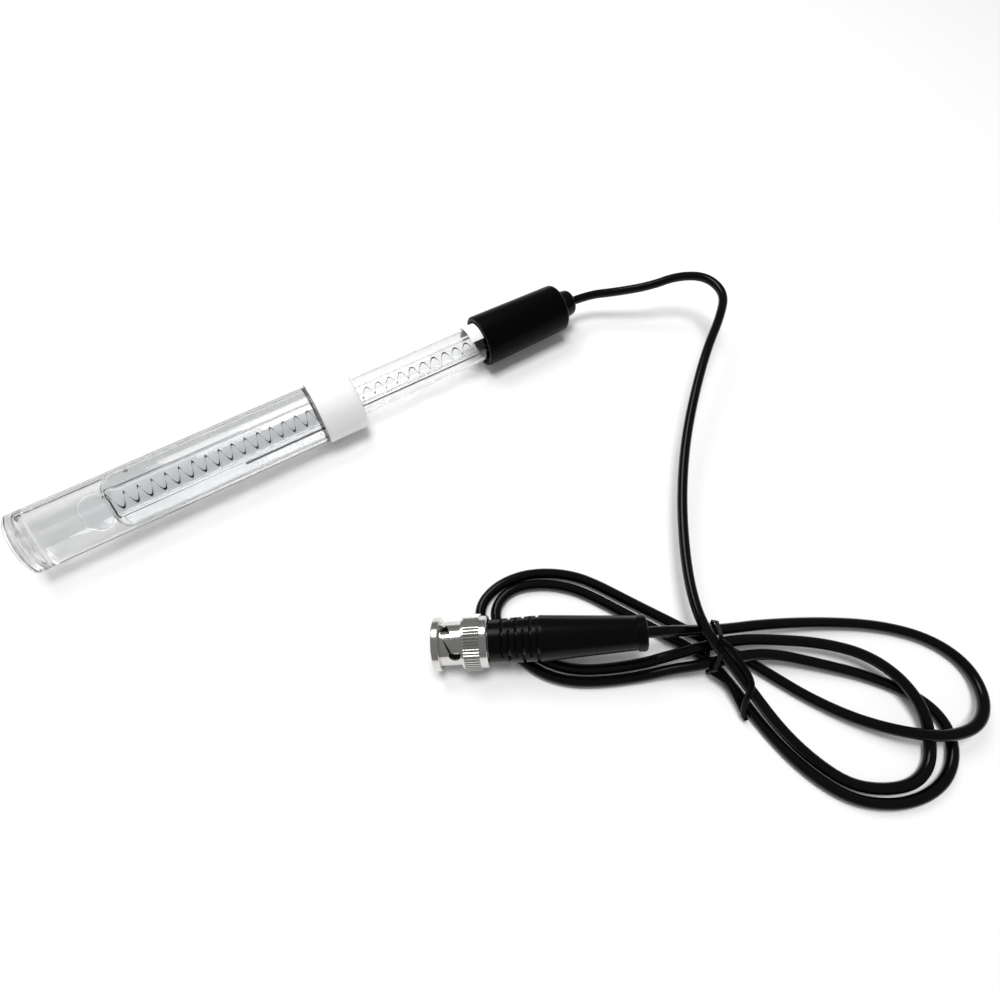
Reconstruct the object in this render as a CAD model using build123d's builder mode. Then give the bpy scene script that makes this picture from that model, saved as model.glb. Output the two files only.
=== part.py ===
from build123d import *
import math
import os

os.makedirs("parts", exist_ok=True)

# Driving dimensions, in millimetres
# Electrode
tip_gap = 15.5
electrode_length = 154.0
glass_radius = 6.0
glass_wall = 0.9
stem_radius = 2.9
stem_wall = 0.6
bulb_radius = 4.2
bulb_wall = 0.4
ring_seal_gap = 0.5
coil_radius = 1.35
coil_pitch = 3.8
coil_wire_radius = 0.25
coil_start = 7.5
coil_leg = 2.5
coil_joint_radius = 0.4
straight_wire_radius = 0.25
straight_wire_start = 44.0
straight_wire_offset = 3.45
straight_wire_angle = 209.0
frit_radius = 0.6
frit_from_tip = 15.0
stopper_length = 6.0
stopper_flange = 1.5
stopper_clearance = 0.03
stem_in_stopper = 3.0
wire_hole_clearance = 0.05

# Cap, label and grommet
cap_radius = 8.1
cap_end_radius = 7.5
cap_length = 30.0
cap_socket_depth = 12.0
cap_socket_clearance = 0.02
cap_mouth_radius = 6.7
cap_mouth_depth = 0.6
cap_cavity_radius = 5.3
cap_end_wall = 3.0
cap_rim_round = 0.5
cap_end_round = 1.5
nub_length = 5.0
nub_radius = 4.7
nub_end_radius = 3.9
nub_round = 1.4
grommet_shank_radius = 3.0
grommet_flange_radius = 4.4
grommet_flange = 1.2
label_width = 4.1
label_thickness = 0.12
label_first_angle = -12.0
label_last_angle = 124.0
label_cap_gap = 0.1
lead_wire_radius = 0.3
lead_end_gap = 0.2
lead_bend_radius = 1.5

# Storage bottle and its nut
bottle_radius = 8.7
bottle_wall = 1.1
bottle_floor = 1.6
bottle_foot_recess = 0.7
bottle_foot_wall = 1.3
bottle_foot_round = 0.5
bottle_neck_radius = 7.95
nut_from_bottom = 84.0
nut_radius = 9.5
nut_length = 12.5
nut_skirt_wall = 1.2
nut_top_wall = 2.6
nut_chamfer = 1.3
nut_hole_clearance = 0.35
seal_thickness = 2.2
seal_clearance = 0.1
seal_outer_radius = 7.8
seal_nut_gap = 0.05
shoulder_gap = 0.3

# Cable and tie
cable_radius = 1.4
cable_bore_clearance = 0.02
cable_start = 1.0
cable_in_cap_length = 3.75
tie_middle = (55.0, -114.0)
tie_turn = 50.0
tie_width = 1.0
tie_thickness = 0.4
tie_corner = 0.8
tie_outline = [(-6.5, 0.1), (4.3, 0.1), (6.6, 4.8), (5.4, 7.8), (0.1, 12.0), (-4.3, 12.2), (-7.3, 6.6)]
tie_tail = [(50.7, -119.1, 3.4), (52.4, -123.5, 4.0), (51.8, -128.0, 3.1), (51.4, -132.4, 1.4)]
tie_tail_radius = 0.6
tie_tail_bend = 4.0

# Plug: distances run along its axis from the front rim
plug_front = (-5.54, -78.68)
plug_heading = -29.2
plug_tilt = 6.2
rim_radius = 6.6
rim_length = 2.0
sleeve_radius = 5.4
sleeve_length = 5.4
flange_radius = 6.4
flange_length = 0.6
knurl_radius = 6.9
knurl_length = 3.8
knurl_teeth = 54
knurl_depth = 0.3
shoulder_radius = 6.4
shoulder_length = 1.9
plug_nut_round = 0.4
nut_bore_radius = 4.88
nut_chamber_radius = 5.7
nut_chamber_start = 8.6
nut_chamber_length = 3.0
bayonet_width = 2.2
bayonet_hole_radius = 1.45
bayonet_start = 3.0
bayonet_travel = 2.7
bayonet_sweep = 76.0
bayonet_first_angle = 66.0
bayonet_entry_radius = 5.8
bayonet_steps = 5
contact_radius = 4.05
contact_wall = 0.6
contact_front = 1.0
contact_slit = 0.5
contact_slit_depth = 5.0
body_floor = 8.0
body_flange_radius = 5.4
body_flange_start = 9.2
body_flange_length = 0.8
neck_radius = 4.2
neck_clearance = 0.3
neck_end = 15.0
crimp_stem_radius = 2.4
crimp_stem_end = 22.8
insulator_front = 4.5
insulator_radius = 2.0
insulator_end = 14.0
pin_radius = 0.68
pin_front = 2.2
pin_end = 16.5
pin_clearance = 0.02
gasket_radius = 4.7
gasket_length = 0.8
washer_radius = 5.4
washer_thickness = 0.35
wave_height = 0.55
washer_gap = 0.03
thrust_thickness = 0.55
ferrule_wall = 0.55
ferrule_length = 6.5
ferrule_clearance = 0.03

# Boot of the plug
boot_gap = 0.2
boot_length = 38.4
boot_radius = 5.25
boot_waist = 13.0
boot_waist_radius = 5.65
boot_end_radius = 4.15
boot_bead_radius = 4.5
boot_bead_length = 2.2
boot_bead_round = 0.8
boot_slots = 6
boot_slot_width = 0.75
boot_slot_pitch = 1.75
boot_slot_first = 2.9
boot_slot_floor = 3.8
boot_web_width = 3.8
boot_web_turn = 60.0
cable_in_boot = 3.0

# Places along the electrode, worked out from the sizes above
overall_length = tip_gap + electrode_length + nub_length
axis_height = nut_radius
bottom_x = -overall_length / 2
tip_x = bottom_x + tip_gap
cap_end_x = tip_x + electrode_length
cap_x = cap_end_x - cap_length
glass_end_x = cap_x + cap_socket_depth
nut_x = bottom_x + nut_from_bottom
bulb_x = tip_x + bulb_radius
neck_x = bulb_x + math.sqrt(bulb_radius**2 - stem_radius**2)
ring_x = neck_x + ring_seal_gap
stopper_x = glass_end_x - stopper_length
stopper_end_x = glass_end_x + stopper_flange
stem_end_x = stopper_x + stem_in_stopper
cavity_end_x = cap_end_x - cap_end_wall
electrode_axis = Axis((0, 0, axis_height), (1, 0, 0))
profile_plane = Plane(origin=(0, 0, axis_height), x_dir=(1, 0, 0), z_dir=(0, -1, 0))


def around(x, radius, angle):
    # A point at an angle about the electrode's axis, from +Y towards +Z
    turn = math.radians(angle)
    return (x, radius * math.cos(turn), axis_height + radius * math.sin(turn))


def cross_plane(x):
    # A plane across the electrode at x, facing the cable end
    return Plane(origin=(x, 0, axis_height), x_dir=(0, 1, 0), z_dir=(1, 0, 0))


def save(piece, label):
    piece.part.label = label
    export_step(piece.part, f"parts/{label}.step")


# Outer glass tube, drawn in to the ring seal at the tip
with BuildPart() as glass_tube:
    shoulder = glass_radius - stem_radius
    with BuildSketch(profile_plane):
        with BuildLine():
            Line((ring_x + glass_wall, stem_radius), (ring_x, stem_radius))
            RadiusArc((ring_x, stem_radius), (ring_x + shoulder, glass_radius), shoulder)
            Line((ring_x + shoulder, glass_radius), (glass_end_x, glass_radius))
            Line((glass_end_x, glass_radius), (glass_end_x, glass_radius - glass_wall))
            Line((glass_end_x, glass_radius - glass_wall), (ring_x + shoulder, glass_radius - glass_wall))
            RadiusArc(
                (ring_x + shoulder, glass_radius - glass_wall),
                (ring_x + glass_wall, stem_radius),
                -(shoulder - glass_wall),
            )
        make_face()
    revolve(axis=electrode_axis)
    frit_plane = Plane(origin=(tip_x + frit_from_tip, 0, axis_height), z_dir=(0, 1, 0))
    with BuildSketch(frit_plane):
        Circle(frit_radius)
    extrude(amount=glass_radius + 1, mode=Mode.SUBTRACT)
save(glass_tube, "glass_tube")

# Porous ceramic plug in the wall of the glass tube
with BuildPart() as junction_frit:
    with BuildSketch(frit_plane.offset(glass_radius - glass_wall)):
        Circle(frit_radius)
    extrude(amount=glass_wall - 0.05)
save(junction_frit, "junction_frit")

# Inner stem with the thin sensing bulb blown on its end
with BuildPart() as stem_bulb:
    inner_bulb = bulb_radius - bulb_wall
    inner_stem = stem_radius - stem_wall
    inner_neck_x = bulb_x + math.sqrt(inner_bulb**2 - inner_stem**2)
    with BuildSketch(profile_plane):
        with BuildLine():
            ThreePointArc((tip_x, 0), (bulb_x, bulb_radius), (neck_x, stem_radius))
            Line((neck_x, stem_radius), (stem_end_x, stem_radius))
            Line((stem_end_x, stem_radius), (stem_end_x, inner_stem))
            Line((stem_end_x, inner_stem), (inner_neck_x, inner_stem))
            ThreePointArc((inner_neck_x, inner_stem), (bulb_x, inner_bulb), (tip_x + bulb_wall, 0))
            Line((tip_x + bulb_wall, 0), (tip_x, 0))
        make_face()
    revolve(axis=electrode_axis)
save(stem_bulb, "stem_bulb")

# Coiled silver wire inside the stem, with a straight leg through the stopper
coil_x = tip_x + coil_start
coil_end_x = stem_end_x - coil_leg
with BuildPart() as coil_wire:
    with BuildLine():
        coil_path = Helix(
            pitch=coil_pitch,
            height=coil_end_x - coil_x,
            radius=coil_radius,
            center=(coil_x, 0, axis_height),
            direction=(1, 0, 0),
        )
    with BuildSketch(Plane(origin=coil_path @ 0, z_dir=coil_path % 0)):
        RegularPolygon(coil_wire_radius, 6)
    sweep(path=coil_path, is_frenet=True)
    coil_end = coil_path @ 1
    with BuildSketch(Plane(origin=coil_end, z_dir=(1, 0, 0))):
        Circle(coil_wire_radius)
    extrude(amount=stopper_end_x - coil_end.X)
    with Locations(coil_end):
        Sphere(coil_joint_radius)
save(coil_wire, "coil_wire")

# Straight reference wire beside the stem
straight_end = around(stopper_end_x, straight_wire_offset, straight_wire_angle)
with BuildPart() as reference_wire:
    start = around(tip_x + straight_wire_start, straight_wire_offset, straight_wire_angle)
    with BuildSketch(Plane(origin=start, z_dir=(1, 0, 0))):
        Circle(straight_wire_radius)
    extrude(amount=stopper_end_x - start[0])
save(reference_wire, "reference_wire")

# Rubber stopper that closes the glass and guides both wires
with BuildPart() as body_stopper:
    with BuildSketch(cross_plane(stopper_x)):
        Circle(glass_radius - glass_wall - stopper_clearance)
    extrude(amount=stopper_length)
    with BuildSketch(cross_plane(glass_end_x)):
        Circle(cap_cavity_radius - stopper_clearance)
    extrude(amount=stopper_flange)
    with BuildSketch(cross_plane(stopper_x)):
        Circle(stem_radius + stopper_clearance)
    extrude(amount=stem_in_stopper + stopper_clearance, mode=Mode.SUBTRACT)
    for point, wire_radius in ((coil_end, coil_wire_radius), (Vector(straight_end), straight_wire_radius)):
        with BuildSketch(Plane(origin=(stopper_x, point.Y, point.Z), z_dir=(1, 0, 0))):
            Circle(wire_radius + wire_hole_clearance)
        extrude(amount=stopper_length + stopper_flange, mode=Mode.SUBTRACT)
save(body_stopper, "body_stopper")

# Moulded cap: socket for the glass, cavity for the joints, wall for the grommet
with BuildPart() as electrode_cap:
    with BuildSketch(cross_plane(cap_x)):
        Circle(cap_radius)
    with BuildSketch(cross_plane(cap_end_x)):
        Circle(cap_end_radius)
    loft()
    rims = electrode_cap.edges().sort_by(Axis.X)
    fillet(rims[0], cap_rim_round)
    fillet(electrode_cap.edges().sort_by(Axis.X)[-1], cap_end_round)
    with BuildSketch(cross_plane(cap_x)):
        Circle(glass_radius + cap_socket_clearance)
    extrude(amount=cap_socket_depth, mode=Mode.SUBTRACT)
    with BuildSketch(cross_plane(cap_x)):
        Circle(cap_mouth_radius)
    extrude(amount=cap_mouth_depth, mode=Mode.SUBTRACT)
    with BuildSketch(cross_plane(glass_end_x)):
        Circle(cap_cavity_radius)
    extrude(amount=cavity_end_x - glass_end_x, mode=Mode.SUBTRACT)
    with BuildSketch(cross_plane(cavity_end_x)):
        Circle(grommet_shank_radius + cable_bore_clearance)
    extrude(amount=cap_end_wall, mode=Mode.SUBTRACT)
save(electrode_cap, "electrode_cap")

# Rubber grommet: flange inside the cap, shank through its wall, nose outside
with BuildPart() as cable_grommet:
    flange_x = cavity_end_x - grommet_flange
    with BuildSketch(profile_plane):
        with BuildLine():
            Polyline(
                (flange_x, 0),
                (flange_x, grommet_flange_radius),
                (cavity_end_x, grommet_flange_radius),
                (cavity_end_x, grommet_shank_radius),
                (cap_end_x, grommet_shank_radius),
                (cap_end_x, nub_radius),
                (cap_end_x + nub_length, nub_end_radius),
                (cap_end_x + nub_length, 0),
                close=True,
            )
        make_face()
    revolve(axis=electrode_axis)
    nose = cable_grommet.edges().filter_by(GeomType.CIRCLE).sort_by(Axis.X)[-1]
    fillet(nose, nub_round)
    with BuildSketch(cross_plane(flange_x)):
        Circle(cable_radius + cable_bore_clearance)
    extrude(amount=cap_end_x + nub_length - flange_x, mode=Mode.SUBTRACT)
save(cable_grommet, "cable_grommet")

# Paper strip round the glass, beside the cap
with BuildPart() as label_strip:
    strip_x = cap_x - label_cap_gap - label_width
    with BuildSketch(cross_plane(strip_x)):
        inner = glass_radius
        outer = glass_radius + label_thickness
        spread = label_last_angle - label_first_angle
        with BuildLine():
            first = CenterArc((0, 0), inner, label_first_angle, spread)
            last = CenterArc((0, 0), outer, label_first_angle, spread)
            Line(first @ 0, last @ 0)
            Line(first @ 1, last @ 1)
        make_face()
    extrude(amount=label_width)
save(label_strip, "label_strip")

# Stretch of the cable inside the cap, with its core and screen joined to the two wires
cable_start_x = cap_end_x - cable_start
cable_cut_x = cable_start_x - cable_in_cap_length
with BuildPart() as cable_in_cap:
    with BuildSketch(cross_plane(cable_cut_x)):
        Circle(cable_radius)
    extrude(amount=cable_in_cap_length)
save(cable_in_cap, "cable_in_cap")


def lead_wire(first, side):
    # A thin lead from a wire's end to the cable's cut end, straight at both ends
    begin = Vector(first.X + lead_end_gap, first.Y, first.Z)
    finish = Vector(cable_cut_x - lead_end_gap, side, axis_height)
    third = (finish.X - begin.X) / 3
    with BuildPart() as lead:
        with BuildLine():
            run = FilletPolyline(
                begin,
                begin + Vector(third, 0, 0),
                finish - Vector(third, 0, 0),
                finish,
                radius=lead_bend_radius,
            )
        with BuildSketch(Plane(origin=run @ 0, z_dir=run % 0)):
            Circle(lead_wire_radius)
        sweep(path=run)
    return lead


signal_lead = lead_wire(Vector(stopper_end_x, coil_end.Y, coil_end.Z), 0)
save(signal_lead, "signal_lead")
screen_lead = lead_wire(Vector(straight_end), -cable_radius + lead_wire_radius)
save(screen_lead, "screen_lead")

# Storage bottle: flat foot, straight wall, stepped neck
bottle_mouth_x = nut_x + nut_length - nut_top_wall - seal_nut_gap - seal_thickness
with BuildPart() as storage_bottle:
    inner_wall = bottle_radius - bottle_wall
    inner_neck = bottle_neck_radius - bottle_wall
    step_x = nut_x - shoulder_gap
    floor_x = bottom_x + bottle_foot_recess + bottle_floor
    with BuildSketch(profile_plane):
        with BuildLine():
            Polyline(
                (bottom_x + bottle_foot_recess, 0),
                (bottom_x + bottle_foot_recess, bottle_radius - bottle_foot_wall),
                (bottom_x, bottle_radius - bottle_foot_wall),
                (bottom_x, bottle_radius),
                (step_x, bottle_radius),
                (step_x, bottle_neck_radius),
                (bottle_mouth_x, bottle_neck_radius),
                (bottle_mouth_x, inner_neck),
                (step_x, inner_neck),
                (step_x - (inner_wall - inner_neck), inner_wall),
                (floor_x, inner_wall),
                (floor_x, 0),
                close=True,
            )
        make_face()
    revolve(axis=electrode_axis)
    foot = storage_bottle.edges().filter_by(GeomType.CIRCLE).group_by(Axis.X)[0]
    fillet(foot.sort_by(SortBy.RADIUS)[-1], bottle_foot_round)
save(storage_bottle, "storage_bottle")

# White screw nut that closes the bottle round the glass
with BuildPart() as bottle_nut:
    with BuildSketch(cross_plane(nut_x)):
        Circle(nut_radius)
    extrude(amount=nut_length)
    chamfer(bottle_nut.edges().sort_by(Axis.X)[-1], nut_chamfer)
    with BuildSketch(cross_plane(nut_x)):
        Circle(nut_radius - nut_skirt_wall)
    extrude(amount=nut_length - nut_top_wall, mode=Mode.SUBTRACT)
    with BuildSketch(cross_plane(nut_x)):
        Circle(glass_radius + nut_hole_clearance)
    extrude(amount=nut_length, mode=Mode.SUBTRACT)
save(bottle_nut, "bottle_nut")

# Soft ring pressed between the bottle's mouth and the nut
with BuildPart() as bottle_seal:
    with BuildSketch(cross_plane(bottle_mouth_x)):
        Circle(seal_outer_radius)
        Circle(glass_radius + seal_clearance, mode=Mode.SUBTRACT)
    extrude(amount=seal_thickness)
save(bottle_seal, "bottle_seal")

# Plug frame: its axis runs from the front rim towards the cable
turn = math.radians(plug_heading)
rise = math.radians(plug_tilt)
plug_along = Vector(math.cos(turn) * math.cos(rise), math.sin(turn) * math.cos(rise), math.sin(rise))
plug_side = Vector(-math.sin(turn), math.cos(turn), 0)
plug_origin = Vector(plug_front[0], plug_front[1], rim_radius * math.cos(rise))
plug_axis = Axis(plug_origin, plug_along)
plug_plane = Plane(origin=plug_origin, x_dir=plug_side, z_dir=plug_along)
plug_profile = Plane(origin=plug_origin, x_dir=plug_along, z_dir=plug_side)
sleeve_end = rim_length + sleeve_length
flange_end = sleeve_end + flange_length
knurl_end = flange_end + knurl_length
nut_end = knurl_end + shoulder_length
boot_start = nut_end + boot_gap
boot_end = boot_start + boot_length


def turned(points):
    # A turned piece from its half profile, as (distance along the plug's axis, radius)
    with BuildPart() as piece:
        with BuildSketch(plug_profile):
            with BuildLine():
                Polyline(*points, close=True)
            make_face()
        revolve(axis=plug_axis)
    return piece


# Knurled bayonet nut of the plug
nut_lip_start = nut_chamber_start + nut_chamber_length
with BuildPart() as bnc_coupling_nut:
    steps = (
        (0, rim_length, rim_radius),
        (rim_length, sleeve_length, sleeve_radius),
        (sleeve_end, flange_length, flange_radius),
        (knurl_end, shoulder_length, shoulder_radius),
    )
    for begin, length, radius in steps:
        with BuildSketch(plug_plane.offset(begin)):
            Circle(radius)
        extrude(amount=length)
    with BuildSketch(plug_plane.offset(flange_end)):
        Circle(knurl_radius)
        with PolarLocations(knurl_radius, knurl_teeth):
            Rectangle(knurl_depth * math.sqrt(2), knurl_depth * math.sqrt(2), rotation=45, mode=Mode.SUBTRACT)
    extrude(amount=knurl_length)
    outer_rings = bnc_coupling_nut.edges().filter_by(GeomType.CIRCLE)
    fillet([ring for ring in outer_rings if abs(ring.radius - rim_radius) < knurl_depth / 9], plug_nut_round)
    fillet(bnc_coupling_nut.edges().filter_by(GeomType.CIRCLE).sort_by(plug_axis)[-1], plug_nut_round)
    with BuildSketch(plug_plane):
        Circle(nut_bore_radius)
    extrude(amount=nut_chamber_start, mode=Mode.SUBTRACT)
    with BuildSketch(plug_plane.offset(nut_chamber_start)):
        Circle(nut_chamber_radius)
    extrude(amount=nut_chamber_length, mode=Mode.SUBTRACT)
    with BuildSketch(plug_plane.offset(nut_lip_start)):
        Circle(neck_radius + neck_clearance)
    extrude(amount=nut_end - nut_lip_start, mode=Mode.SUBTRACT)
    step_angle = bayonet_sweep / bayonet_steps
    step_along = bayonet_travel / bayonet_steps
    step_around = math.radians(step_angle) * sleeve_radius
    step_length = math.hypot(step_along, step_around)
    step_slope = math.degrees(math.atan2(step_around, step_along))
    for side in (0, 180):
        for step in range(bayonet_steps):
            angle = math.radians(side + bayonet_first_angle + (step + 0.5) * step_angle)
            along = bayonet_start + (step + 0.5) * step_along
            outward = plug_plane.from_local_coords(Vector(math.cos(angle), math.sin(angle), 0)) - plug_origin
            centre = plug_plane.from_local_coords(Vector(0, 0, along))
            with BuildSketch(Plane(origin=centre, x_dir=plug_along, z_dir=outward)):
                SlotCenterToCenter(step_length, bayonet_width, rotation=-step_slope)
            extrude(amount=rim_radius, mode=Mode.SUBTRACT)
        angle = math.radians(side + bayonet_first_angle + bayonet_sweep)
        outward = plug_plane.from_local_coords(Vector(math.cos(angle), math.sin(angle), 0)) - plug_origin
        centre = plug_plane.from_local_coords(Vector(0, 0, bayonet_start + bayonet_travel))
        with BuildSketch(Plane(origin=centre, x_dir=plug_along, z_dir=outward)):
            Circle(bayonet_hole_radius)
        extrude(amount=rim_radius, mode=Mode.SUBTRACT)
    with BuildSketch(plug_plane):
        Rectangle(2 * bayonet_entry_radius, bayonet_width, rotation=bayonet_first_angle)
    extrude(amount=bayonet_start, mode=Mode.SUBTRACT)
save(bnc_coupling_nut, "bnc_coupling_nut")

# Plug body: slit outer contact, flange, neck and crimp stem in one turned piece
insulator_bore = insulator_radius + pin_clearance
cable_bore = cable_radius + cable_bore_clearance
body_flange_end = body_flange_start + body_flange_length
with BuildPart() as bnc_body:
    with BuildSketch(plug_profile):
        with BuildLine():
            Polyline(
                (contact_front, contact_radius - contact_wall),
                (contact_front, contact_radius),
                (body_floor, contact_radius),
                (body_floor, gasket_radius),
                (body_flange_start, gasket_radius),
                (body_flange_start, body_flange_radius),
                (body_flange_end, body_flange_radius),
                (body_flange_end, neck_radius),
                (neck_end, neck_radius),
                (neck_end, crimp_stem_radius),
                (crimp_stem_end, crimp_stem_radius),
                (crimp_stem_end, cable_bore),
                (insulator_end, cable_bore),
                (insulator_end, insulator_bore),
                (body_floor, insulator_bore),
                (body_floor, contact_radius - contact_wall),
                close=True,
            )
        make_face()
    revolve(axis=plug_axis)
    with BuildSketch(plug_plane.offset(contact_front)):
        Rectangle(2 * contact_radius + 1, contact_slit)
        Rectangle(contact_slit, 2 * contact_radius + 1)
        Circle(contact_radius - 2 * contact_wall, mode=Mode.SUBTRACT)
    extrude(amount=contact_slit_depth, mode=Mode.SUBTRACT)
save(bnc_body, "bnc_body")

# Insulator round the centre pin
bnc_insulator = turned(
    [
        (insulator_front, pin_radius + pin_clearance),
        (insulator_front, contact_radius - contact_wall - pin_clearance),
        (body_floor, contact_radius - contact_wall - pin_clearance),
        (body_floor, insulator_radius),
        (insulator_end, insulator_radius),
        (insulator_end, pin_radius + pin_clearance),
    ]
)
save(bnc_insulator, "bnc_insulator")

# Centre pin with a tapered tip
bnc_center_pin = turned(
    [
        (pin_front, 0),
        (pin_front, pin_radius / 2),
        (pin_front + pin_radius, pin_radius),
        (pin_end, pin_radius),
        (pin_end, 0),
    ]
)
save(bnc_center_pin, "bnc_center_pin")


def ring(start, length, inner, outer):
    # A plain ring on the plug's axis
    with BuildPart() as piece:
        with BuildSketch(plug_plane.offset(start)):
            Circle(outer)
            Circle(inner, mode=Mode.SUBTRACT)
        extrude(amount=length)
    return piece


# Front gasket, sprung washer and thrust washer of the plug
bnc_gasket = ring(body_floor - gasket_length, gasket_length, contact_radius, gasket_radius)
save(bnc_gasket, "bnc_gasket")
washer_start = body_flange_start + body_flange_length + washer_gap
washer_bore = neck_radius + washer_gap
bnc_spring_washer = turned(
    [
        (washer_start + wave_height, washer_bore),
        (washer_start, washer_radius),
        (washer_start + washer_thickness, washer_radius),
        (washer_start + wave_height + washer_thickness, washer_bore),
    ]
)
save(bnc_spring_washer, "bnc_spring_washer")
thrust_start = nut_lip_start - washer_gap - thrust_thickness
bnc_thrust_washer = ring(thrust_start, thrust_thickness, washer_bore, washer_radius)
save(bnc_thrust_washer, "bnc_thrust_washer")

# Crimp ferrule on the body's stem
ferrule_inner = crimp_stem_radius + ferrule_clearance
ferrule_outer = ferrule_inner + ferrule_wall
bnc_ferrule = ring(crimp_stem_end - ferrule_length, ferrule_length, ferrule_inner, ferrule_outer)
save(bnc_ferrule, "bnc_ferrule")

# Moulded boot with staggered relief slots and an end bead
boot_bore = ferrule_outer + ferrule_clearance
bead_start = boot_end - boot_bead_length
with BuildPart() as bnc_boot:
    with BuildSketch(plug_profile):
        with BuildLine():
            Polyline(
                (boot_start, neck_radius + cable_bore_clearance),
                (boot_start, boot_radius),
                (boot_start + boot_waist, boot_waist_radius),
                (bead_start, boot_end_radius),
                (bead_start, boot_bead_radius),
                (boot_end, boot_bead_radius),
                (boot_end, cable_bore),
                (crimp_stem_end + boot_gap, cable_bore),
                (crimp_stem_end + boot_gap, boot_bore),
                (neck_end, boot_bore),
                (neck_end, neck_radius + cable_bore_clearance),
                close=True,
            )
        make_face()
        fillet(vertices().group_by(Axis.X)[-1].sort_by(Axis.Y)[-1], boot_bead_round)
    revolve(axis=plug_axis)
    for slot in range(boot_slots):
        with BuildSketch(plug_plane.offset(boot_start + boot_slot_first + slot * boot_slot_pitch)):
            Circle(2 * boot_waist_radius)
            Circle(boot_slot_floor, mode=Mode.SUBTRACT)
            web_length = 4 * boot_waist_radius
            Rectangle(web_length, boot_web_width, rotation=slot % 2 * boot_web_turn, mode=Mode.SUBTRACT)
        extrude(amount=boot_slot_width, mode=Mode.SUBTRACT)
save(bnc_boot, "bnc_boot")

# Stretch of the cable inside the boot
with BuildPart() as cable_in_plug:
    core_length = boot_end - cable_in_boot - crimp_stem_end - boot_gap
    with BuildSketch(plug_plane.offset(crimp_stem_end + boot_gap)):
        Circle(cable_radius)
    extrude(amount=core_length)
save(cable_in_plug, "cable_in_plug")

# Route of the cable: lead over the table, figure-eight loops, tail into the boot
tail_start = plug_origin + plug_along * (boot_end + 4.5)
tail_end = plug_origin + plug_along * (boot_end - cable_in_boot)
lead_points = [
    (cable_start_x, 0, axis_height), (92.5, 0, axis_height), (102.3, -5.6, 11), (110.8, -11, 13.8),
    (119, -13.8, 16.3), (125.8, -19.6, 17.6), (125.8, -28.6, 17.8), (118.5, -35.4, 17.2), (107.3, -43, 15.8),
    (94.9, -53.5, 13.4), (83.4, -64.6, 11.2), (72.5, -77.2, 10), (63.2, -90.2, 9.6), (56.5, -101.4, 10),
    (53.2, -110.3, 10.5), (53.8, -118.9, 9.4),
]
right_middle_loop = [
    (55, -128.2, 6.2), (56.1, -138.6, 3.8), (59, -148, 2.1), (62.4, -155.8, 1.5), (68.2, -160.6, 1.5),
    (75, -163.4, 1.5), (81.2, -162.7, 1.5), (85.9, -158.8, 1.8), (89, -151.8, 4.4), (89.1, -143.4, 5.3),
    (86.4, -135.2, 4.6), (79.5, -127.7, 4), (69, -120.7, 4.7), (61, -116.2, 5.2),
]
left_inner_loop = [
    (53, -113.4, 5.3), (43.8, -110.6, 4.3), (38, -108.6, 2.2), (30, -105.3, 1.5), (22.3, -101.2, 1.5),
    (17.2, -95.9, 1.5), (14.3, -89.8, 1.5), (12.2, -84.6, 1.5),
    (12.1, -80.4, 1.5), (14.1, -77.2, 1.5), (17.8, -75.1, 1.5),
    (22.4, -75.2, 1.5), (28.4, -78, 1.5), (33.4, -82, 1.5), (37.2, -87.2, 1.5), (42, -96, 1.6),
    (46.8, -104.6, 1.9), (52.3, -115.2, 2.1),
]
right_outer_loop = [
    (53.7, -124.3, 1.8), (53.7, -135.9, 1.5), (55.4, -147.6, 1.5), (59.6, -157.4, 1.5), (66.3, -163.4, 1.5),
    (74.4, -166.7, 1.5), (82.6, -166.8, 1.5), (89.4, -163.3, 1.5), (92.9, -157, 1.5), (91.6, -149.6, 1.5),
    (85, -139.9, 1.5), (75.5, -130.8, 2.4), (66.5, -123.3, 4.5), (58.5, -119.6, 5.3),
]
left_outer_loop = [
    (50, -117, 5.1), (42.6, -113.5, 3.4), (36.2, -111.2, 1.7), (28, -107.8, 1.5), (20.4, -103.6, 1.5),
    (15.2, -98.6, 1.5), (12, -92.4, 1.5), (9.6, -85.4, 1.5),
    (8.8, -78.8, 1.5), (11.6, -74.1, 1.5), (17, -71.9, 1.5),
    (23.4, -72.2, 1.5), (29.8, -74.8, 1.5), (35.8, -79.3, 1.5), (39.9, -84.6, 1.5), (44.8, -93.4, 1.6),
    (49.8, -102, 1.7), (54.6, -110.4, 1.9), (59.3, -117.9, 2.1),
]
right_upper_loop = [
    (63.3, -126.2, 1.8), (68.3, -136.7, 1.6), (74.5, -146.7, 2.6), (82, -155.2, 5), (89.5, -160.2, 5.4),
    (97.5, -161.7, 4.8), (105, -158.2, 2.8), (108.5, -150.2, 1.8), (105.5, -140.7, 1.6), (97, -131.7, 1.6),
    (84.5, -123.7, 2.6), (70.5, -116.7, 4.3), (59.5, -112.2, 5.1), (52.3, -108.9, 7),
]
loops = right_middle_loop + left_inner_loop + right_outer_loop + left_outer_loop + right_upper_loop
route = [Vector(point) for point in lead_points + loops] + [tail_start, tail_end]
corner_share = 0.45
radii = []
for before, here, after in zip(route, route[1:], route[2:]):
    half_turn = math.radians((here - before).get_angle(after - here)) / 2
    shorter = min((here - before).length, (after - here).length)
    radii.append(corner_share * shorter / math.tan(half_turn))
with BuildPart() as cable:
    with BuildLine():
        cable_path = FilletPolyline(*route, radius=radii)
    with BuildSketch(Plane(origin=cable_path @ 0, z_dir=cable_path % 0)):
        Circle(cable_radius)
    sweep(path=cable_path)
save(cable, "cable")
print("bend radii", [round(radius, 1) for radius in radii])
print("cable length", round(cable_path.length, 1))
tube_volume = cable_path.length * math.pi * cable_radius**2
print("cable volume", round(cable.part.volume, 1), "of", round(tube_volume, 1))

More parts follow.
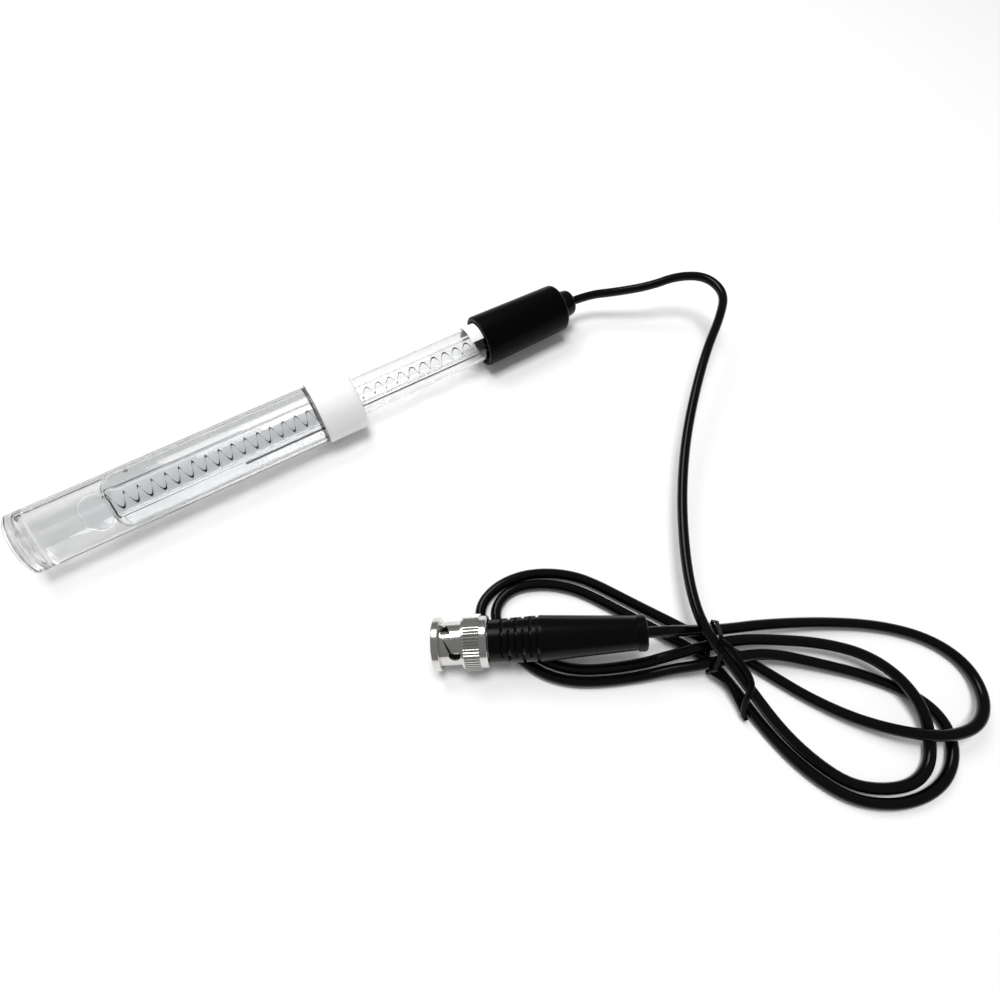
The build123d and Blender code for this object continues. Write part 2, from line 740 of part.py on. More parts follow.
# Tie round the crossing of the loops, with its twisted tail down to the table
with BuildPart() as cable_tie:
    across = math.radians(tie_turn)
    tie_plane = Plane(
        origin=(tie_middle[0], tie_middle[1], 0),
        x_dir=(math.cos(across), math.sin(across), 0),
        z_dir=(math.sin(across), -math.cos(across), 0),
    )
    with BuildSketch(tie_plane):
        with BuildLine():
            FilletPolyline(*tie_outline, radius=tie_corner, close=True)
        make_face()
        offset(amount=-tie_thickness, mode=Mode.SUBTRACT)
    extrude(amount=tie_width / 2, both=True)
    with BuildLine():
        tail = FilletPolyline(*tie_tail, radius=tie_tail_bend)
    with BuildSketch(Plane(origin=tail @ 0, z_dir=tail % 0)):
        Circle(tie_tail_radius)
    sweep(path=tail)
save(cable_tie, "cable_tie")
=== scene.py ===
import bpy
import bmesh
import math
from mathutils import Matrix, Vector


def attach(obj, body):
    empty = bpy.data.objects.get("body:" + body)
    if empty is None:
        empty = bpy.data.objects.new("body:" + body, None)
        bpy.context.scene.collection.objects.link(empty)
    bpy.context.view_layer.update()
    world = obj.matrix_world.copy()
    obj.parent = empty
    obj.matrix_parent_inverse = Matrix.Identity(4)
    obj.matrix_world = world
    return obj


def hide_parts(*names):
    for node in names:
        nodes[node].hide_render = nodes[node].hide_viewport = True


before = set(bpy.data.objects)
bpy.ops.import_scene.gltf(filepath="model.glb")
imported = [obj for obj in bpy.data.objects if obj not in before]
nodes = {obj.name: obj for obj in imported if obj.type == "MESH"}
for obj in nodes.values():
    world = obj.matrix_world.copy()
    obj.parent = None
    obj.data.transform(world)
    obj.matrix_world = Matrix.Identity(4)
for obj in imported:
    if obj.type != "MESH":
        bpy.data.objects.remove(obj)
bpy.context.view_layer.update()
scene = bpy.context.scene
scene.view_settings.view_transform = "Standard"
scene.cycles.max_bounces = 32  # walls inside walls
scene.cycles.transmission_bounces = 32
scene.cycles.transparent_max_bounces = 48
mm = 0.001
print("frame loaded")

# camera at the photograph's viewing angle
cameraSet = {
    "place": (-15.54, -127.63, 166.1),
    "heading": 59.39,  # degrees from +X towards +Y
    "down": 61.0,
    "lens": 23.4,
    "sensor": 36.0,
    "near": 0.005,
    "far": 20,
}


def makeCamera():
    data = bpy.data.cameras.new("photoCamera")
    data.lens = cameraSet["lens"]
    data.sensor_width = cameraSet["sensor"]
    data.clip_start = cameraSet["near"]
    data.clip_end = cameraSet["far"]
    camera = bpy.data.objects.new("photoCamera", data)
    scene.collection.objects.link(camera)
    turn = math.radians(cameraSet["heading"])
    down = math.radians(cameraSet["down"])
    look = Vector((math.cos(turn) * math.cos(down), math.sin(turn) * math.cos(down), -math.sin(down)))
    camera.location = Vector(cameraSet["place"]) * mm
    camera.rotation_mode = "QUATERNION"
    camera.rotation_quaternion = look.to_track_quat("-Z", "Y")
    scene.camera = camera


makeCamera()
print("camera set")

# cable: one smooth line from the cap, round the loops, into the boot
cableSet = {"radius": 1.4, "length": 0.88, "resolution": 10, "bevelResolution": 5}
leadPoints = [
    (81.25, 0, 9.5), (92.5, 0, 9.5), (102.3, -5.6, 11), (110.8, -11, 13.8),
    (119, -13.8, 16.3), (125.8, -19.6, 17.6), (125.8, -28.6, 17.8), (118.5, -35.4, 17.2), (107.3, -43, 15.8),
    (94.9, -53.5, 13.4), (83.4, -64.6, 11.2), (72.5, -77.2, 10), (63.2, -90.2, 9.6), (56.5, -101.4, 10),
    (53.2, -110.3, 10.5), (53.8, -118.9, 9.4),
]
rightMiddleLoop = [
    (55, -128.2, 6.2), (56.1, -138.6, 3.7), (58.8, -148.1, 2), (62.4, -155.8, 1.5), (68.2, -160.6, 1.5),
    (75, -163.4, 1.5), (81.2, -162.7, 1.5), (85.9, -158.8, 1.8), (89, -151.8, 4.4), (89.1, -143.4, 5.3),
    (86.4, -135.2, 4.6), (79.5, -127.7, 4), (69, -120.7, 4.7), (61, -116.2, 5.2),
]
leftInnerLoop = [
    (53, -113.4, 5.3), (43.8, -110.6, 4.3), (38, -108.6, 2.2), (30, -105.3, 1.5), (22.3, -101.2, 1.5),
    (17.2, -95.9, 1.5), (14.3, -89.8, 1.5), (11.9, -84.4, 1.5), (11.4, -79.8, 1.5), (13.6, -76.4, 1.5),
    (17.6, -74.6, 1.5), (22.4, -74.9, 1.5), (28.4, -77.8, 1.5), (33.4, -82, 1.5), (37.2, -87.2, 1.5), (42, -96, 1.6),
    (46.8, -104.6, 1.9), (52.3, -115.2, 2.1),
]
rightOuterLoop = [
    (53.7, -124.3, 1.8), (53.7, -135.9, 1.5), (55.4, -147.6, 1.5), (59.6, -157.4, 1.5), (66.3, -163.4, 1.5),
    (74.4, -166.7, 1.5), (82.6, -166.8, 1.5), (89.4, -163.3, 1.5), (92.9, -157, 1.5), (91.6, -149.6, 1.5),
    (85, -139.9, 1.5), (75.5, -130.8, 2.4), (66.5, -123.3, 4.5), (58.5, -119.6, 5.3),
]
leftOuterLoop = [
    (50, -117, 5.1), (42.6, -113.5, 3.4), (36.2, -111.2, 1.7), (28, -107.8, 1.5), (20.4, -103.6, 1.5),
    (15.2, -98.6, 1.5), (12, -92.4, 1.5), (10.3, -86, 1.5), (7.6, -79.6, 1.5), (9.6, -74.3, 1.5), (15.6, -71.7, 1.5),
    (23, -72, 1.5), (29.8, -74.8, 1.5), (35.8, -79.3, 1.5), (39.9, -84.6, 1.5), (44.8, -93.4, 1.6),
    (49.8, -102, 1.7), (54.6, -110.4, 1.9), (59.3, -117.9, 2.1),
]
rightUpperLoop = [
    (63.3, -126.2, 1.8), (68.3, -136.7, 1.6), (74.5, -146.7, 2.6), (82, -155.2, 5), (89.5, -160.2, 5.4),
    (97.5, -161.7, 4.8), (105, -158.2, 2.8), (108.5, -150.2, 1.8), (105.5, -140.7, 1.6), (97, -131.7, 1.6),
    (84.5, -123.7, 2.6), (70.5, -116.7, 4.3), (59.5, -112.2, 5.1), (52.3, -108.9, 7),
]
# plug: where its front rim stands and which way its axis runs
plugSet = {
    "front": (-5.54, -78.68), "heading": -29.2, "tilt": 6.2, "rimRadius": 6.6, "bootEnd": 52.3,
    "cableOut": 4.5, "cableIn": 3.0,
}


def plugAxis():
    turn = math.radians(plugSet["heading"])
    rise = math.radians(plugSet["tilt"])
    along = Vector((math.cos(turn) * math.cos(rise), math.sin(turn) * math.cos(rise), math.sin(rise)))
    start = Vector((*plugSet["front"], plugSet["rimRadius"] * math.cos(rise)))
    return start, along


def layTube(name, lineName, points, settings):
    curve = bpy.data.curves.new(lineName, "CURVE")
    curve.dimensions = "3D"
    curve.bevel_depth = 1.0  # each point's radius scales it
    curve.bevel_resolution = settings["bevelResolution"]
    curve.resolution_u = settings["resolution"]
    curve.use_fill_caps = True
    spline = curve.splines.new("NURBS")
    spline.points.add(len(points) - 1)
    for control, point in zip(spline.points, points):
        control.co = (*(Vector(point) * mm), 1)
        control.radius = settings["radius"] * mm
    spline.order_u = 3
    spline.use_endpoint_u = True
    spline.use_smooth = True
    tube = bpy.data.objects.new(name, curve)
    scene.collection.objects.link(tube)
    return tube


def makeCable():
    plugStart, plugAlong = plugAxis()
    tailSpots = (plugSet["bootEnd"] + plugSet["cableOut"], plugSet["bootEnd"] - plugSet["cableIn"])
    tail = [plugStart + plugAlong * spot for spot in tailSpots]
    loops = rightMiddleLoop + leftInnerLoop + rightOuterLoop + leftOuterLoop + rightUpperLoop
    cable = layTube("cableJacket", "cableLine", leadPoints + loops + tail, cableSet)
    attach(cable, "electrode")
    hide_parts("cable")
    return cable


cable = makeCable()
print("cable laid")

# materials: one function each, with the finish's own values


def newMaterial(name):
    material = bpy.data.materials.new(name)
    material.use_nodes = True
    return material, material.node_tree.nodes["Principled BSDF"], material.node_tree


def addNode(tree, kind, **values):
    node = tree.nodes.new(kind)
    for key, value in values.items():
        setattr(node, key, value)
    return node


grainSet = {"detail": 4, "depth": 0.00005}


def speckleGroup():
    group = bpy.data.node_groups.new("surfaceSpeckle", "ShaderNodeTree")
    for label in ("Scale", "Base", "Spread"):
        group.interface.new_socket(label, in_out="INPUT", socket_type="NodeSocketFloat")
    for label in ("Roughness", "Height"):
        group.interface.new_socket(label, in_out="OUTPUT", socket_type="NodeSocketFloat")
    taken = group.nodes.new("NodeGroupInput")
    given = group.nodes.new("NodeGroupOutput")
    place = group.nodes.new("ShaderNodeTexCoord")
    noise = group.nodes.new("ShaderNodeTexNoise")
    noise.inputs["Detail"].default_value = grainSet["detail"]
    group.links.new(place.outputs["Object"], noise.inputs["Vector"])
    group.links.new(taken.outputs["Scale"], noise.inputs["Scale"])
    spread = addNode(group, "ShaderNodeMath", operation="MULTIPLY_ADD")
    group.links.new(noise.outputs["Fac"], spread.inputs[0])
    group.links.new(taken.outputs["Spread"], spread.inputs[1])
    group.links.new(taken.outputs["Base"], spread.inputs[2])
    group.links.new(spread.outputs["Value"], given.inputs["Roughness"])
    group.links.new(noise.outputs["Fac"], given.inputs["Height"])
    return group


speckle = speckleGroup()


def finishSurface(tree, shader, scale, base, spread, bump):
    grain = addNode(tree, "ShaderNodeGroup", node_tree=speckle)
    grain.inputs["Scale"].default_value = scale
    grain.inputs["Base"].default_value = base
    grain.inputs["Spread"].default_value = spread
    tree.links.new(grain.outputs["Roughness"], shader.inputs["Roughness"])
    if bump:
        lift = addNode(tree, "ShaderNodeBump")
        lift.inputs["Strength"].default_value = bump
        lift.inputs["Distance"].default_value = grainSet["depth"]
        tree.links.new(grain.outputs["Height"], lift.inputs["Height"])
        tree.links.new(lift.outputs["Normal"], shader.inputs["Normal"])


def solidFinish(name, colour, rough, spread=0.08, scale=900.0, bump=0.15, metallic=0.0, specular=0.5):
    material, shader, tree = newMaterial(name)
    shader.inputs["Base Color"].default_value = (*colour, 1)
    shader.inputs["Metallic"].default_value = metallic
    shader.inputs["Specular IOR Level"].default_value = specular
    finishSurface(tree, shader, scale, rough, spread, bump)
    return material


def clearFinish(name, colour, ior, shadow=0.1):
    # shadow: how much lamp light the surface stops
    material, shader, tree = newMaterial(name)
    shader.inputs["Base Color"].default_value = (*colour, 1)
    shader.inputs["Roughness"].default_value = 0
    shader.inputs["IOR"].default_value = ior
    shader.inputs["Transmission Weight"].default_value = 1.0
    rays = addNode(tree, "ShaderNodeLightPath")
    shade = addNode(tree, "ShaderNodeMath", operation="MULTIPLY_ADD")
    shade.inputs[1].default_value = shadow - 1
    shade.inputs[2].default_value = 1
    tree.links.new(rays.outputs["Is Shadow Ray"], shade.inputs[0])
    tree.links.new(shade.outputs["Value"], shader.inputs["Alpha"])
    return material


bottleFinish = clearFinish("clearBottle", (0.955, 0.958, 0.96), 1.46, shadow=0.5)
liquidFinish = clearFinish("clearLiquid", (0.985, 0.987, 0.99), 1.33)
wetGlassFinish = clearFinish("wetGlass", (0.955, 0.958, 0.962), 1.2)
dryGlassFinish = clearFinish("dryGlass", (0.955, 0.958, 0.96), 1.47, shadow=0.25)
innerGlassFinish = clearFinish("innerGlass", (0.975, 0.978, 0.98), 1.1)
stemFinish = clearFinish("stemGlass", (0.985, 0.987, 0.99), 1.05)
dryStemFinish = clearFinish("dryStemGlass", (0.985, 0.987, 0.99), 1.3)
capFinish = solidFinish("blackCap", (0.0015, 0.0015, 0.0016), 0.3, 0.1, specular=0.05)
jacketFinish = solidFinish("blackJacket", (0.0015, 0.0015, 0.0016), 0.12, 0.08, specular=0.2)
rubberFinish = solidFinish("blackRubber", (0.0015, 0.0015, 0.0016), 0.2, 0.08, specular=0.12)
nutFinish = solidFinish("whiteNut", (0.94, 0.94, 0.935), 0.35, 0.1)
labelFinish = solidFinish("labelPaper", (0.9, 0.9, 0.89), 0.6, 0.1)
sealFinish = solidFinish("softSeal", (0.7, 0.7, 0.69), 0.5, 0.1)
wireFinish = solidFinish("darkWire", (0.05, 0.05, 0.05), 0.4, 0.1, metallic=0.3)
coilFinish = solidFinish("greyCoil", (0.012, 0.012, 0.012), 0.5, 0.1, specular=0.05)
nickelFinish = solidFinish("platedNickel", (0.66, 0.65, 0.63), 0.12, 0.08, metallic=1.0, bump=0.05)
goldFinish = solidFinish("platedGold", (0.8, 0.6, 0.25), 0.2, 0.1, metallic=1.0, bump=0.05)
whiteInsulator = solidFinish("whiteInsulator", (0.8, 0.8, 0.78), 0.4, 0.1)
ceramicFinish = solidFinish("porousCeramic", (0.95, 0.945, 0.93), 0.6, 0.1)
ceramicFinish.node_tree.nodes["Principled BSDF"].inputs["Transmission Weight"].default_value = 0.8
copperFinish = solidFinish("tinnedCopper", (0.72, 0.43, 0.26), 0.3, 0.1, metallic=1.0)
tieFinish = solidFinish("blackTie", (0.0015, 0.0015, 0.0015), 0.3, 0.1, specular=0.1)
cable.data.materials.append(jacketFinish)
nodeFinish = {
    "glass_tube": dryGlassFinish, "stem_bulb": stemFinish, "junction_frit": ceramicFinish, "coil_wire": wireFinish,
    "reference_wire": wireFinish, "body_stopper": sealFinish, "electrode_cap": capFinish, "label_strip": labelFinish,
    "cable_grommet": rubberFinish, "cable_in_cap": jacketFinish, "signal_lead": copperFinish,
    "screen_lead": copperFinish, "storage_bottle": bottleFinish, "bottle_nut": nutFinish, "bottle_seal": sealFinish,
    "cable": jacketFinish, "cable_in_plug": jacketFinish, "cable_tie": tieFinish, "bnc_boot": rubberFinish,
    "bnc_ferrule": nickelFinish, "bnc_body": nickelFinish, "bnc_insulator": whiteInsulator,
    "bnc_center_pin": goldFinish, "bnc_gasket": sealFinish, "bnc_spring_washer": nickelFinish,
    "bnc_thrust_washer": nickelFinish, "bnc_coupling_nut": nickelFinish,
}
for name, finish in nodeFinish.items():
    nodes[name].data.materials.clear()
    nodes[name].data.materials.append(finish)
print("materials made")

axisZ = 9.5  # height of the electrode's axis
tipX = -71.75  # far end of the bulb
weldGap = 1e-7  # m
ringGap = 1e-3  # mm


def shadeByAngle(mesh, degrees):
    mesh.polygons.foreach_set("use_smooth", [True] * len(mesh.polygons))
    mesh.set_sharp_from_angle(angle=math.radians(degrees))


def spinProfile(profile, steps, bevelSegments=4):
    # profile: (x, radius) or (x, radius, rounding) in mm; a ring with a rounding is bevelled
    shape = bmesh.new()
    line = [shape.verts.new((spot[0] * mm, 0, (axisZ + spot[1]) * mm)) for spot in profile]
    closed = profile[0][1] > 0
    edges = [shape.edges.new(pair) for pair in zip(line, line[1:] + line[:1] if closed else line[1:])]
    bmesh.ops.spin(
        shape, geom=line + edges, cent=(0, 0, axisZ * mm), axis=(1, 0, 0), angle=2 * math.pi,
        steps=steps, use_merge=True,
    )
    bmesh.ops.remove_doubles(shape, verts=shape.verts, dist=weldGap)
    bmesh.ops.recalc_face_normals(shape, faces=shape.faces)
    for spot in profile:
        if len(spot) == 3:
            ring = [edge for edge in shape.edges if all(onRing(vert, spot) for vert in edge.verts)]
            bmesh.ops.bevel(
                shape, geom=ring, offset=spot[2] * mm, offset_type="OFFSET", segments=bevelSegments,
                profile=0.5, affect="EDGES", material=-1, clamp_overlap=True,
            )
    bmesh.ops.recalc_face_normals(shape, faces=shape.faces)
    return shape


def radiusOf(place):
    return math.hypot(place.y, place.z - axisZ * mm) / mm


def onRing(vert, spot):
    return abs(vert.co.x / mm - spot[0]) < ringGap and abs(radiusOf(vert.co) - spot[1]) < ringGap


def finishPiece(name, shape, body, finishes, replaced=None, angle=35):
    mesh = bpy.data.meshes.new(name)
    shape.to_mesh(mesh)
    shape.free()
    shadeByAngle(mesh, angle)
    for finish in finishes:
        mesh.materials.append(finish)
    piece = bpy.data.objects.new(name, mesh)
    scene.collection.objects.link(piece)
    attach(piece, body)
    if replaced:
        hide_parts(replaced)
    return piece


def arcSpots(centre, radius, first, last, steps):
    # profile points on an arc about a point of the axis
    turns = [math.radians(first + (last - first) * step / steps) for step in range(steps + 1)]
    return [(centre + radius * math.cos(turn), radius * math.sin(turn)) for turn in turns]


# storage bottle: clear, with a recessed foot and a stepped neck under the nut
bottleSet = {
    "radius": 8.7, "wall": 1.1, "foot": -87.25, "neck": -3.55, "mouth": 4.4, "neckRadius": 7.95, "steps": 160,
    "recess": 0.7, "recessRadius": 7.4, "recessRound": 0.4, "recessEdge": 0.3, "heelRound": 0.6,
    "lipRound": 0.2, "shoulder": 0.75, "floor": 2.3, "floorRound": 0.9,
}


def makeBottle():
    b = bottleSet
    inner = b["radius"] - b["wall"]
    neckInner = b["neckRadius"] - b["wall"]
    profile = [
        (b["foot"] + b["recess"], 0), (b["foot"] + b["recess"], b["recessRadius"], b["recessRound"]),
        (b["foot"], b["recessRadius"], b["recessEdge"]), (b["foot"], b["radius"], b["heelRound"]),
        (b["neck"], b["radius"], b["lipRound"]), (b["neck"], b["neckRadius"]),
        (b["mouth"], b["neckRadius"], b["lipRound"]), (b["mouth"], neckInner, b["lipRound"]),
        (b["neck"], neckInner), (b["neck"] - b["shoulder"], inner),
        (b["foot"] + b["floor"], inner, b["floorRound"]), (b["foot"] + b["floor"], 0),
    ]
    return finishPiece(
        "bottleShell", spinProfile(profile, b["steps"]), "bottle", [bottleFinish], "storage_bottle"
    )


# liquid in the bottle, with an air bubble along the top at the foot end
liquidSet = {
    "overlap": 0.05, "belowMouth": 0.05, "bubbleEnd": -60.2, "bubbleFloor": 6.8, "meniscus": 3.4,
    "longEdge": 50, "cuts": 150, "steps": 128,
}


def makeLiquid():
    b, q = bottleSet, liquidSet
    inner = b["radius"] - b["wall"] + q["overlap"]
    neckInner = b["neckRadius"] - b["wall"] + q["overlap"]
    low = b["foot"] + b["floor"] - q["overlap"]
    high = b["mouth"] - q["belowMouth"]
    profile = [
        (low, 0), (low, inner, b["floorRound"]), (b["neck"] - b["shoulder"], inner), (b["neck"], neckInner),
        (high, neckInner), (high, 0),
    ]
    shape = spinProfile(profile, q["steps"])
    along = [edge for edge in shape.edges if abs(edge.verts[0].co.x - edge.verts[1].co.x) > q["longEdge"] * mm]
    bmesh.ops.subdivide_edges(shape, edges=along, cuts=q["cuts"], use_grid_fill=True)
    for vert in shape.verts:
        left = q["bubbleEnd"] - vert.co.x / mm
        if left > -q["meniscus"]:
            share = min(max(1 - left / q["meniscus"], 0), 1)
            level = q["bubbleFloor"] + (inner - q["bubbleFloor"]) * (1 - math.sqrt(1 - share ** 2))
            height = vert.co.z / mm - axisZ
            if height > level:
                vert.co.z = (axisZ + level) * mm
    return finishPiece("storageLiquid", shape, "bottle", [liquidFinish])


# outer glass: drawn in to the ring seal at the tip; one finish in the liquid, one in air, one for its inside
glassSet = {
    "radius": 6.0, "wall": 0.9, "ring": -64.012, "stem": 2.9, "end": 64.25, "dryFrom": 4.0, "steps": 160,
    "seam": 0.02, "tipRound": 3.0, "tipRoundInside": 2.1, "endRound": 0.3, "roundSegments": 10, "tipFacing": -0.5,
}


def makeGlass():
    g = glassSet
    inner = g["radius"] - g["wall"]
    seam = g["stem"] + g["seam"]
    ringInside = g["ring"] + g["wall"]
    profile = [
        (g["ring"], seam), (g["ring"], g["radius"], g["tipRound"]), (g["dryFrom"], g["radius"]),
        (g["end"], g["radius"], g["endRound"]), (g["end"], inner, g["endRound"]), (g["dryFrom"], inner),
        (ringInside, inner, g["tipRoundInside"]), (ringInside, seam),
    ]
    shape = spinProfile(profile, g["steps"], g["roundSegments"])
    for face in shape.faces:
        middle = face.calc_center_median()
        fromAxis = Vector((0, middle.y, middle.z - axisZ * mm))
        outward = fromAxis.dot(face.normal) > 0 or face.normal.x < g["tipFacing"]
        dry = middle.x > g["dryFrom"] * mm
        face.material_index = 1 if dry else 0 if outward else 2
    return finishPiece(
        "outerGlass", shape, "electrode", [wetGlassFinish, dryGlassFinish, innerGlassFinish], "glass_tube"
    )


# inner stem with the thin sensing bulb on its end
stemSet = {
    "radius": 2.9, "wall": 0.6, "bulb": 4.2, "bulbWall": 0.4, "end": 61.25, "dryFrom": 4.0, "steps": 128,
    "arcSteps": 22, "sharp": 60,
}


def makeStem():
    t = stemSet
    middle = tipX + t["bulb"]
    inner = t["radius"] - t["wall"]
    innerBulb = t["bulb"] - t["bulbWall"]
    neck = math.degrees(math.asin(t["radius"] / t["bulb"]))
    innerNeck = math.degrees(math.asin(inner / innerBulb))
    profile = arcSpots(middle, t["bulb"], 180, neck, t["arcSteps"]) + [(t["dryFrom"], t["radius"])]
    profile += [(t["end"], t["radius"]), (t["end"], inner), (t["dryFrom"], inner)]
    profile += arcSpots(middle, innerBulb, innerNeck, 180, t["arcSteps"])
    profile[0] = (tipX, 0)
    profile[-1] = (tipX + t["bulbWall"], 0)
    shape = spinProfile(profile, t["steps"])
    for face in shape.faces:
        face.material_index = int(face.calc_center_median().x > t["dryFrom"] * mm)
    return finishPiece(
        "innerStem", shape, "electrode", [stemFinish, dryStemFinish], "stem_bulb", t["sharp"]
    )


# thin wire wound on the axis, with a straight leg through the stopper
coilSet = {
    "from": -64.25, "pitch": 3.8, "length": 123.0, "coil": 1.35, "wire": 0.25, "steps": 22, "leg": 65.75,
    "sides": 8, "sharp": 60,
}


def makeCoil():
    c = coilSet
    shape = bmesh.new()
    ring = bmesh.ops.create_circle(shape, segments=c["sides"], radius=c["wire"] * mm)["verts"]
    turns = c["length"] / c["pitch"]
    lean = math.atan2(c["pitch"], 2 * math.pi * c["coil"])
    place = (
        Matrix.Translation((c["from"] * mm, 0, axisZ * mm))
        @ Matrix.Translation((0, 0, -c["coil"] * mm))
        @ Matrix.Rotation(math.pi / 2 - lean, 4, "Z")
        @ Matrix.Rotation(math.pi / 2, 4, "X")
    )
    bmesh.ops.transform(shape, matrix=place, verts=ring)
    count = round(turns * c["steps"])
    made = bmesh.ops.spin(
        shape, geom=ring + shape.edges[:], cent=(0, 0, axisZ * mm), axis=(1, 0, 0), angle=2 * math.pi * turns,
        steps=count, dvec=(c["length"] * mm / count, 0, 0), use_merge=False,
    )
    lastEdges = [part for part in made["geom_last"] if isinstance(part, bmesh.types.BMEdge)]
    grown = bmesh.ops.extrude_edge_only(shape, edges=lastEdges)["geom"]
    tail = [part for part in grown if isinstance(part, bmesh.types.BMVert)]
    bmesh.ops.translate(shape, verts=tail, vec=((c["leg"] - c["from"] - c["length"]) * mm, 0, 0))
    bmesh.ops.holes_fill(shape, edges=shape.edges, sides=c["sides"])
    bmesh.ops.remove_doubles(shape, verts=shape.verts, dist=weldGap)
    bmesh.ops.recalc_face_normals(shape, faces=shape.faces)
    return finishPiece("coiledWire", shape, "electrode", [coilFinish], "coil_wire", c["sharp"])


# white screw nut of the bottle
nutSet = {
    "from": -3.25, "to": 9.25, "radius": 9.5, "bore": 8.3, "hole": 6.35, "top": 6.65, "chamfer": 1.3, "steps": 160,
    "boreRound": 0.25, "rimRound": 0.35, "holeRound": 0.3,
}


def makeNut():
    n = nutSet
    profile = [
        (n["from"], n["bore"], n["boreRound"]), (n["from"], n["radius"], n["rimRound"]),
        (n["to"], n["radius"], n["chamfer"]), (n["to"], n["hole"], n["holeRound"]),
        (n["top"], n["hole"]), (n["top"], n["bore"]),
    ]
    shape = spinProfile(profile, n["steps"])
    return finishPiece("screwNut", shape, "bottle_nut", [nutFinish], "bottle_nut")


# black cap and the nose of its cable grommet
capSet = {
    "from": 52.25, "to": 82.25, "radius": 8.1, "endRadius": 7.5, "rim": 0.5, "round": 1.5, "steps": 160,
    "lip": 6.7, "lipRound": 0.15, "lipDepth": 0.6, "glass": 6.02, "glassEnd": 64.25, "room": 5.3,
    "endWall": 3, "hole": 3.02, "roundSegments": 6,
}


def makeCap():
    c = capSet
    lipEnd = c["from"] + c["lipDepth"]
    roomEnd = c["to"] - c["endWall"]
    profile = [
        (c["from"], c["lip"], c["lipRound"]), (c["from"], c["radius"], c["rim"]),
        (c["to"], c["endRadius"], c["round"]), (c["to"], c["hole"]), (roomEnd, c["hole"]), (roomEnd, c["room"]),
        (c["glassEnd"], c["room"]), (c["glassEnd"], c["glass"]), (lipEnd, c["glass"]), (lipEnd, c["lip"]),
    ]
    shape = spinProfile(profile, c["steps"], c["roundSegments"])
    return finishPiece("capShell", shape, "electrode", [capFinish], "electrode_cap")


noseSet = {
    "from": 82.25, "to": 87.25, "radius": 4.7, "endRadius": 3.9, "round": 1.4, "bore": 1.42, "steps": 96,
    "flangeFrom": 78.05, "flangeTo": 79.25, "flange": 4.4, "flangeRound": 0.2, "waist": 3.0,
    "shoulderRound": 0.25, "boreRound": 0.2, "roundSegments": 6,
}


def makeNose():
    n = noseSet
    profile = [
        (n["flangeFrom"], n["bore"]), (n["flangeFrom"], n["flange"], n["flangeRound"]), (n["flangeTo"], n["flange"]),
        (n["flangeTo"], n["waist"]), (n["from"], n["waist"]), (n["from"], n["radius"], n["shoulderRound"]),
        (n["to"], n["endRadius"], n["round"]), (n["to"], n["bore"], n["boreRound"]),
    ]
    shape = spinProfile(profile, n["steps"], n["roundSegments"])
    return finishPiece("cableNose", shape, "electrode", [rubberFinish], "cable_grommet")


for build in (makeBottle, makeLiquid, makeGlass, makeStem, makeCoil, makeNut, makeCap, makeNose):
    build()
print("bottle, glass and cap turned")

# free end of the tie, wound once over the pair of strands below the crossing
tieSet = {
    "radius": 0.75, "resolution": 12, "bevelResolution": 4,
    "points": [
        (54, -114.9, 12.2), (55, -116.8, 12), (55.3, -119.2, 11.1), (55.6, -122.3, 10), (55.6, -125.3, 9.2),
        (54.5, -127.3, 8.9), (52.6, -128.6, 6.5), (51.6, -129.9, 4), (51.3, -131.4, 2),
    ],
}


def makeTieEnd():
    end = layTube("tieEnd", "tieEndLine", tieSet["points"], tieSet)
    end.data.materials.append(tieFinish)
    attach(end, "electrode")
    return end


tieEnd = makeTieEnd()
print("tie wound")

# floor and light
floorSet = {"size": 30.0, "colour": (0.9, 0.9, 0.9), "lift": 0.05, "rough": 0.9, "specular": 0.1}


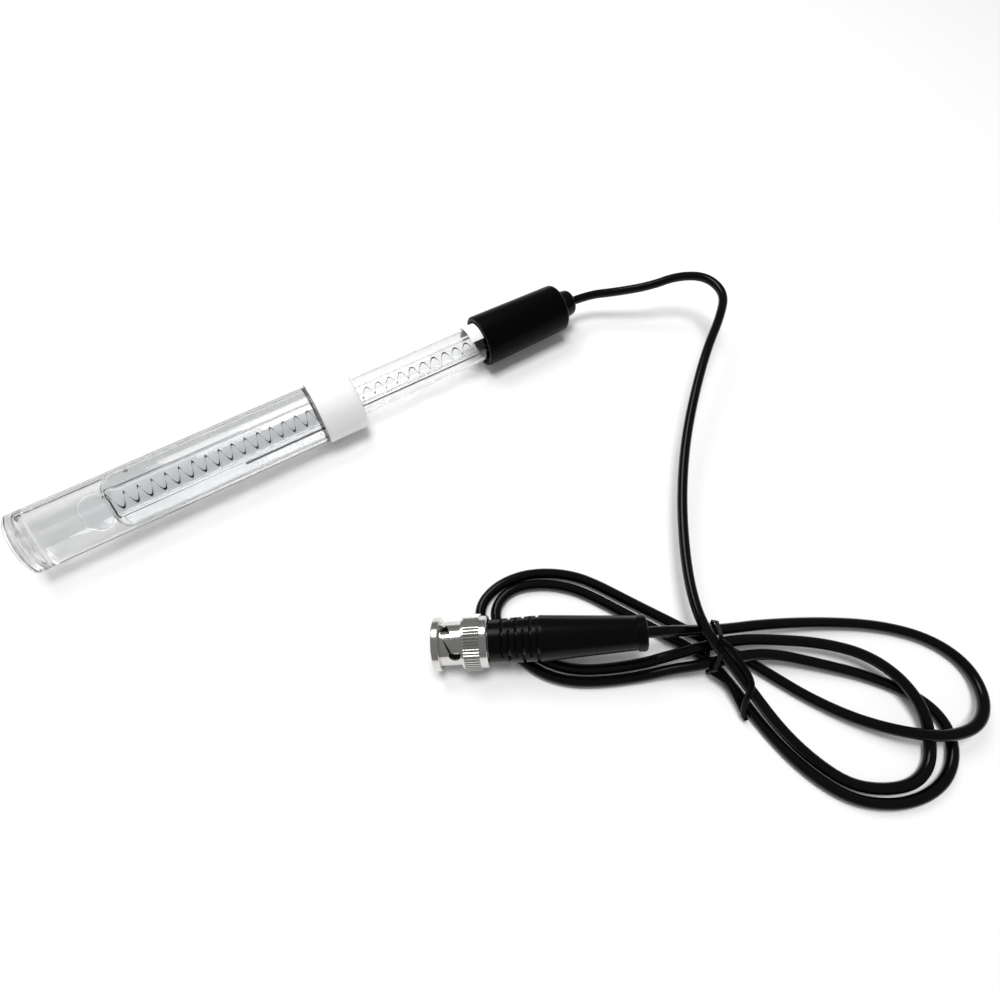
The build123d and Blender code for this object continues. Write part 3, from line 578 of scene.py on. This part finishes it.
def makeFloor():
    mesh = bpy.data.meshes.new("tableTop")
    shape = bmesh.new()
    bmesh.ops.create_grid(shape, x_segments=1, y_segments=1, size=floorSet["size"] / 2)
    shape.to_mesh(mesh)
    shape.free()
    floor = bpy.data.objects.new("tableTop", mesh)
    scene.collection.objects.link(floor)
    material, shader, tree = newMaterial("paleTable")
    shader.inputs["Base Color"].default_value = (*floorSet["colour"], 1)
    shader.inputs["Roughness"].default_value = floorSet["rough"]
    shader.inputs["Specular IOR Level"].default_value = floorSet["specular"]
    shader.inputs["Emission Color"].default_value = (1, 1, 1, 1)
    rays = addNode(tree, "ShaderNodeLightPath")
    seen = addNode(tree, "ShaderNodeMath", operation="MAXIMUM")
    seenToo = addNode(tree, "ShaderNodeMath", operation="MAXIMUM")
    glow = addNode(tree, "ShaderNodeMath", operation="MULTIPLY")
    glow.inputs[1].default_value = floorSet["lift"]
    tree.links.new(rays.outputs["Is Camera Ray"], seen.inputs[0])
    tree.links.new(rays.outputs["Is Glossy Ray"], seen.inputs[1])
    tree.links.new(seen.outputs["Value"], seenToo.inputs[0])
    tree.links.new(rays.outputs["Is Transmission Ray"], seenToo.inputs[1])
    tree.links.new(seenToo.outputs["Value"], glow.inputs[0])
    tree.links.new(glow.outputs["Value"], shader.inputs["Emission Strength"])
    mesh.materials.append(material)


makeFloor()
lampSet = [
    {
        "name": "topSoftbox", "place": (0.02, -0.03, 1.1), "aim": (0.02, -0.06, 0),
        "size": 0.4, "power": 8.4, "gloss": False,
    },
    {
        "name": "backWindow", "place": (0.0, 0.38, 0.66), "aim": (0.02, -0.07, 0),
        "size": 0.34, "power": 2.0, "gloss": True,
    },
]
for lamp in lampSet:
    data = bpy.data.lights.new(lamp["name"], "AREA")
    data.shape = "SQUARE"
    data.size = lamp["size"]
    data.energy = lamp["power"]
    light = bpy.data.objects.new(lamp["name"], data)
    light.location = lamp["place"]
    light.visible_glossy = lamp["gloss"]
    light.rotation_mode = "QUATERNION"
    light.rotation_quaternion = (Vector(lamp["aim"]) - Vector(lamp["place"])).to_track_quat("-Z", "Y")
    scene.collection.objects.link(light)
# studio walls and ceiling
worldSet = {"low": 0.2, "high": 0.24, "from": 0.05, "to": 0.75}
world = bpy.data.worlds.new("studio")
world.use_nodes = True
sky = world.node_tree
skyPlace = addNode(sky, "ShaderNodeTexCoord")
skySplit = addNode(sky, "ShaderNodeSeparateXYZ")
skyLevel = addNode(sky, "ShaderNodeMapRange", interpolation_type="SMOOTHSTEP")
for socket, key in (("From Min", "from"), ("From Max", "to"), ("To Min", "low"), ("To Max", "high")):
    skyLevel.inputs[socket].default_value = worldSet[key]
sky.links.new(skyPlace.outputs["Generated"], skySplit.inputs["Vector"])
sky.links.new(skySplit.outputs["Z"], skyLevel.inputs["Value"])
sky.links.new(skyLevel.outputs["Result"], sky.nodes["Background"].inputs["Strength"])
sky.nodes["Background"].inputs["Color"].default_value = (1, 1, 1, 1)
scene.world = world
print("floor and light set")

bpy.context.view_layer.update()
